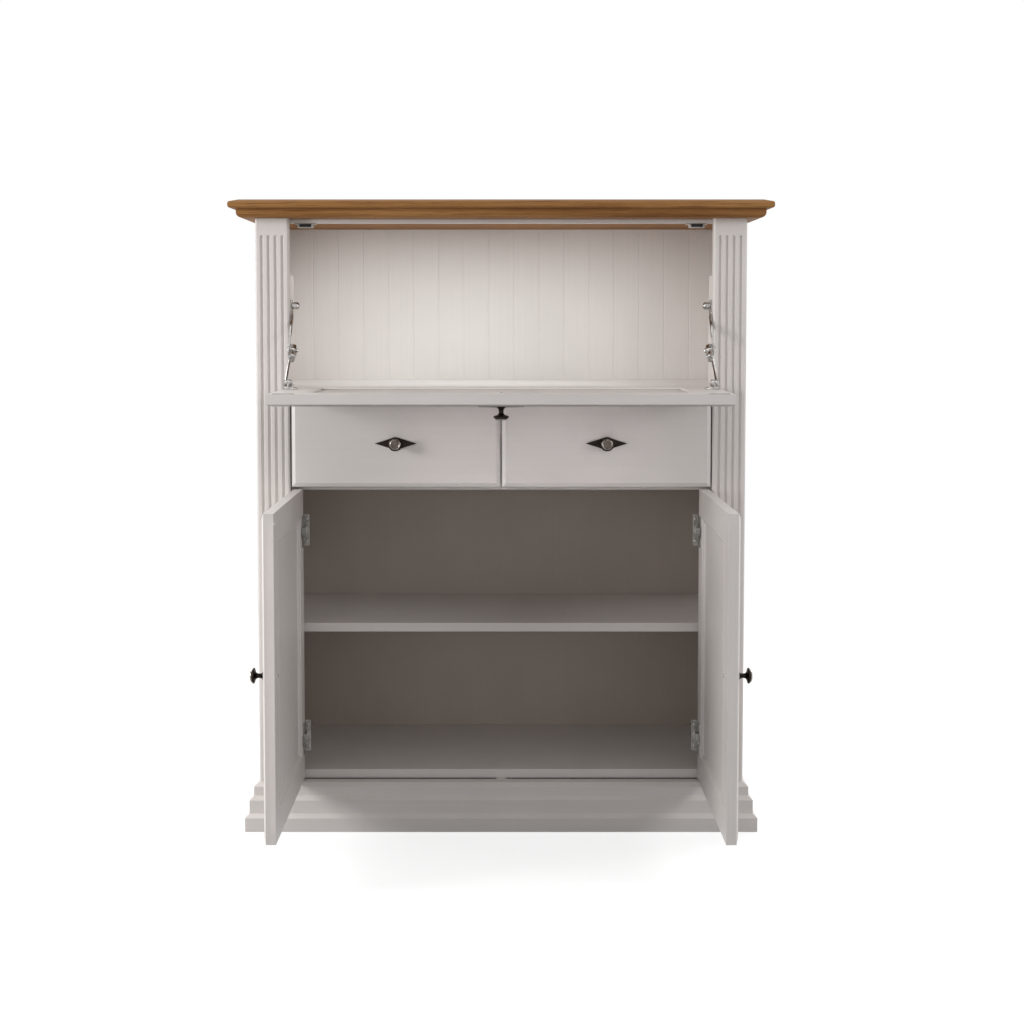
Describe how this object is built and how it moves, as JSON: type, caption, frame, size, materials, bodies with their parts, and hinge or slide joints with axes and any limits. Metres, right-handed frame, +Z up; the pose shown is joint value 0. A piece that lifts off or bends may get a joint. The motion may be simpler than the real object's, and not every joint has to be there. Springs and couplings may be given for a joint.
{
  "type": "bar cabinet",
  "caption": "Painted bar cabinet with an oak top, fluted posts, a fold-out serving flap on folding stays, drawers, and panelled doors over a shelved cupboard.",
  "frame": {"origin": "centre of the plinth's footprint, on the floor", "axes": "+X to the right as seen from the front, +Y towards the back, +Z up"},
  "size_m": [1.058, 0.813, 1.25],
  "materials": {
    "painted_wood": "satin greige paint",
    "oak": "oiled oak grain",
    "pewter": "dark antiqued pewter",
    "chrome": "bright plated",
    "steel": "nickel plated",
    "nylon": "moulded"
  },
  "bodies": {
    "carcass": {"top_board": "oak", "top_moulding": "oak", "left_post": "painted_wood", "right_post": "painted_wood", "left_side": "painted_wood", "right_side": "painted_wood", "top_rail": "painted_wood", "bar_floor": "painted_wood", "drawer_deck": "painted_wood", "drawer_divider": "painted_wood", "bottom_panel": "painted_wood", "middle_shelf": "painted_wood", "shelf_pins": "steel", "bar_back_panel": "painted_wood", "lower_back_panel": "painted_wood", "plinth_front": "painted_wood", "plinth_ends": "painted_wood", "plinth_rails": "painted_wood", "catch_bodies": "nylon", "catch_magnets": "steel", "post_battens": "painted_wood", "drawer_packers": "painted_wood", "drawer_runners": "painted_wood", "stay_wall_brackets": "chrome", "flap_pivot_bushes": "nylon", "hinge_arms": "steel"},
    "flap": {"flap_stiles": "painted_wood", "flap_rails": "painted_wood", "flap_panel": "painted_wood", "flap_knob": "pewter", "flap_knob_plate": "pewter", "flap_strike_plates": "steel", "flap_stay_feet": "chrome", "flap_pivot_pins": "steel"},
    "left_stay_upper": {"left_stay_upper_arm": "chrome"},
    "left_stay_lower": {"left_stay_lower_arm": "chrome"},
    "right_stay_upper": {"right_stay_upper_arm": "chrome"},
    "right_stay_lower": {"right_stay_lower_arm": "chrome"},
    "left_door": {"left_door_stiles": "painted_wood", "left_door_rails": "painted_wood", "left_door_panel": "painted_wood", "left_door_knob": "pewter", "left_door_knob_plate": "pewter", "left_door_hinge_cups": "steel"},
    "right_door": {"right_door_stiles": "painted_wood", "right_door_rails": "painted_wood", "right_door_panel": "painted_wood", "right_door_knob": "pewter", "right_door_knob_plate": "pewter", "right_door_hinge_cups": "steel"},
    "left_drawer": {"left_drawer_front": "painted_wood", "left_drawer_box": "painted_wood", "left_drawer_bottom": "painted_wood", "left_drawer_knob": "pewter", "left_drawer_knob_plate": "pewter"},
    "right_drawer": {"right_drawer_front": "painted_wood", "right_drawer_box": "painted_wood", "right_drawer_bottom": "painted_wood", "right_drawer_knob": "pewter", "right_drawer_knob_plate": "pewter"}
  },
  "joints": [
    {"name": "flap_hinge", "type": "hinge", "parent": "carcass", "child": "flap", "pos_m": [0, -0.176, 0.874], "axis": [-1, 0, 0], "range_deg": [0, 90]},
    {"name": "left_stay_upper_pivot", "type": "hinge", "parent": "carcass", "child": "left_stay_upper", "pos_m": [-0.413, -0.155, 1.04408], "axis": [1, 0, 0], "range_deg": [0, 117]},
    {"name": "left_stay_lower_pivot", "type": "hinge", "parent": "flap", "child": "left_stay_lower", "pos_m": [-0.4075, -0.31501, 0.897], "axis": [1, 0, 0], "range_deg": [0, 57.5]},
    {"name": "right_stay_upper_pivot", "type": "hinge", "parent": "carcass", "child": "right_stay_upper", "pos_m": [0.413, -0.155, 1.04408], "axis": [1, 0, 0], "range_deg": [0, 117]},
    {"name": "right_stay_lower_pivot", "type": "hinge", "parent": "flap", "child": "right_stay_lower", "pos_m": [0.4075, -0.31501, 0.897], "axis": [1, 0, 0], "range_deg": [0, 57.5]},
    {"name": "left_door_hinge", "type": "hinge", "parent": "carcass", "child": "left_door", "pos_m": [-0.4055, -0.176, 0.389], "axis": [0, 0, 1], "range_deg": [0, 90]},
    {"name": "right_door_hinge", "type": "hinge", "parent": "carcass", "child": "right_door", "pos_m": [0.4055, -0.176, 0.389], "axis": [0, 0, -1], "range_deg": [0, 90]},
    {"name": "left_drawer_slide", "type": "slide", "parent": "carcass", "child": "left_drawer", "axis": [0, -1, 0], "range_m": [0, 0.25]},
    {"name": "right_drawer_slide", "type": "slide", "parent": "carcass", "child": "right_drawer", "axis": [0, -1, 0], "range_m": [0, 0.25]}
  ],
  "couplings": [
    {"joint": "left_stay_upper_pivot", "follows": "flap_hinge", "ratio": 1.2981},
    {"joint": "left_stay_lower_pivot", "follows": "flap_hinge", "ratio": 0.6361},
    {"joint": "right_stay_upper_pivot", "follows": "flap_hinge", "ratio": 1.2981},
    {"joint": "right_stay_lower_pivot", "follows": "flap_hinge", "ratio": 0.6361}
  ]
}
